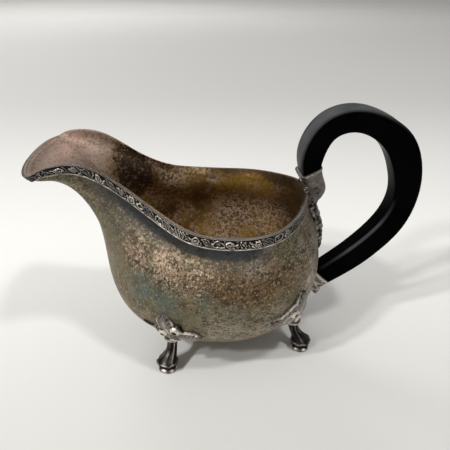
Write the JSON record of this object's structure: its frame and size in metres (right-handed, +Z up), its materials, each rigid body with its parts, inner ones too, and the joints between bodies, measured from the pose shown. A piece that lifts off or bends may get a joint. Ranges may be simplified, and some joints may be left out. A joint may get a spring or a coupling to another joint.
{
  "type": "sauce boat",
  "caption": "Footed sauce boat with a flared pouring lip, an ornamented rim border, leaf-topped feet and a black loop handle pinned into metal sockets.",
  "frame": {"origin": "on the ground plane, under the middle of the overall length, in the plane of symmetry", "axes": "+X towards the handle, -X towards the pouring lip, +Z up"},
  "size_m": [0.1843, 0.0918, 0.127],
  "materials": {
    "bowl_silver": "tarnished silver plate, mottled brown and grey, fine pitting",
    "cast_silver": "cast silver plate, dark in the recesses",
    "black_handle": "polished black"
  },
  "bodies": {
    "root": {"bowl": "bowl_silver", "rim_border_left": "cast_silver", "rim_border_right": "cast_silver", "upper_socket": "cast_silver", "lower_socket": "cast_silver", "handle": "black_handle", "upper_handle_pin": "cast_silver", "lower_handle_pin": "cast_silver", "foot_front_left": "cast_silver", "foot_front_right": "cast_silver", "foot_rear_left": "cast_silver", "foot_rear_right": "cast_silver"}
  },
  "joints": []
}
